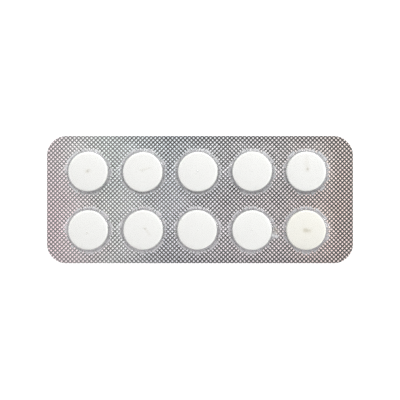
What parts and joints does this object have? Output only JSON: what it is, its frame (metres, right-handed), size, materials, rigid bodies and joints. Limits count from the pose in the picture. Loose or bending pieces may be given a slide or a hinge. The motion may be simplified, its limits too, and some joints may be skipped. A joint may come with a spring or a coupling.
{
  "type": "blister pack of tablets",
  "caption": "Push-through blister card: clear formed film with rows of round pockets, a white round tablet loose in each, sealed to a knurled aluminium foil.",
  "frame": {"origin": "middle of the foil's flat back, under the centre of the card", "axes": "+X along the card's length, +Y across its width, +Z out of the foil's back up through the pockets"},
  "size_m": [0.095, 0.0396, 0.0047],
  "materials": {
    "foil": "satin, knurled by the sealing plate",
    "film": "clear and glossy",
    "tablet": "matt pressed powder"
  },
  "bodies": {
    "root": {"lidding_foil": "foil", "blister_film": "film", "tablet_1": "tablet", "tablet_2": "tablet", "tablet_3": "tablet", "tablet_4": "tablet", "tablet_5": "tablet", "tablet_6": "tablet", "tablet_7": "tablet", "tablet_8": "tablet", "tablet_9": "tablet", "tablet_10": "tablet"}
  },
  "joints": []
}
